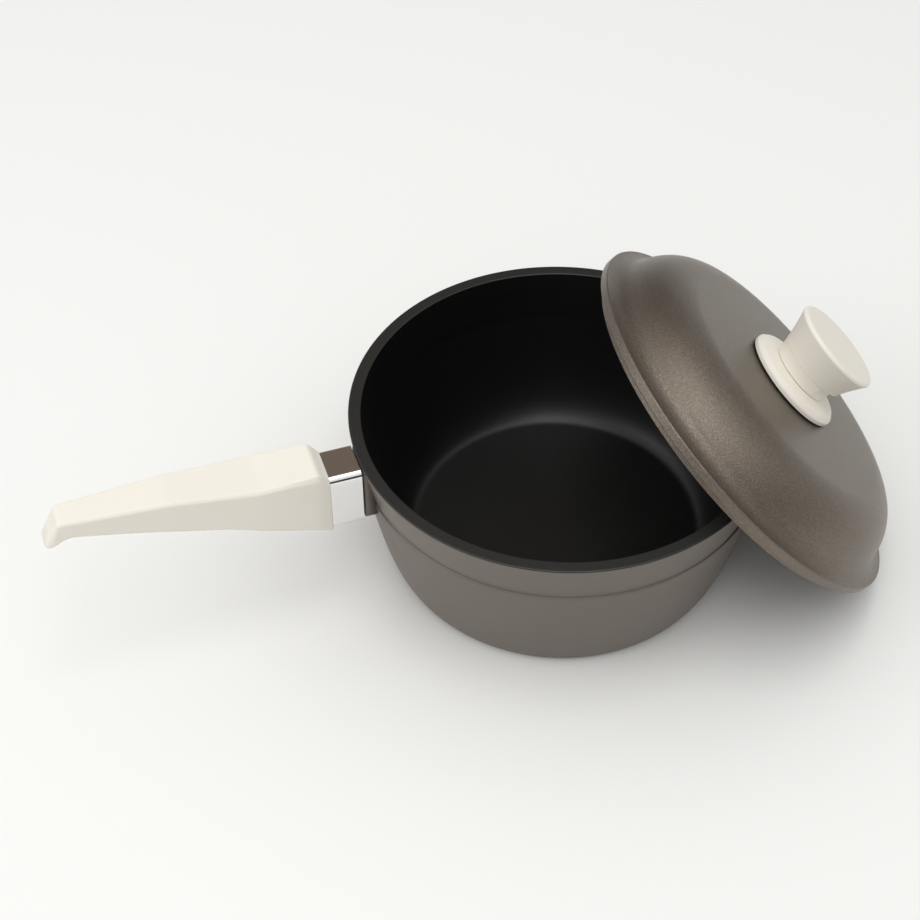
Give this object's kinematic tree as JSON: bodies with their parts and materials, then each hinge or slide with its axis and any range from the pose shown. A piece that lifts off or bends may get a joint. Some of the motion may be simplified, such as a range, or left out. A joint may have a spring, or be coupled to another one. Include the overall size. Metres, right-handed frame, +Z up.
{
  "type": "saucepan with lid",
  "caption": "Cast aluminium saucepan with a long ivory side handle on a steel ferrule, and a domed metal lid with an ivory knob leaning on its rim.",
  "frame": {"origin": "centre of the pan's flat base, on the surface it stands on", "axes": "+Z up along the pan's axis; the handle runs out along -X, and the lid leans on the +X side of the rim"},
  "size_m": [0.3824, 0.2075, 0.1371],
  "materials": {
    "pan_body": "satin coated cast aluminium, black non-stick inside",
    "base_disc": "turned steel",
    "ferrule": "polished",
    "grip": "soft matt ivory",
    "handle_screw": "plated",
    "handle_spring_washer": "plated",
    "handle_flat_washer": "plated",
    "lid_shell": "grained coating on cast aluminium",
    "knob_seal": "matt",
    "knob_flange": "soft matt ivory",
    "knob_body": "soft matt ivory",
    "knob_insert": "turned",
    "knob_screw": "plated",
    "knob_flat_washer": "plated",
    "knob_soft_washer": "matt"
  },
  "bodies": {
    "pan": {"pan_body": "pan_body", "base_disc": "base_disc", "ferrule": "ferrule", "grip": "grip", "handle_screw": "handle_screw", "handle_spring_washer": "handle_spring_washer", "handle_flat_washer": "handle_flat_washer"},
    "lid": {"lid_shell": "lid_shell", "knob_seal": "knob_seal", "knob_flange": "knob_flange", "knob_body": "knob_body", "knob_insert": "knob_insert", "knob_screw": "knob_screw", "knob_flat_washer": "knob_flat_washer", "knob_soft_washer": "knob_soft_washer"}
  },
  "joints": [
    {"name": "lid_lift", "type": "slide", "parent": "pan", "child": "lid", "axis": [0, 0, 1], "range_m": [0, 0.14]}
  ]
}
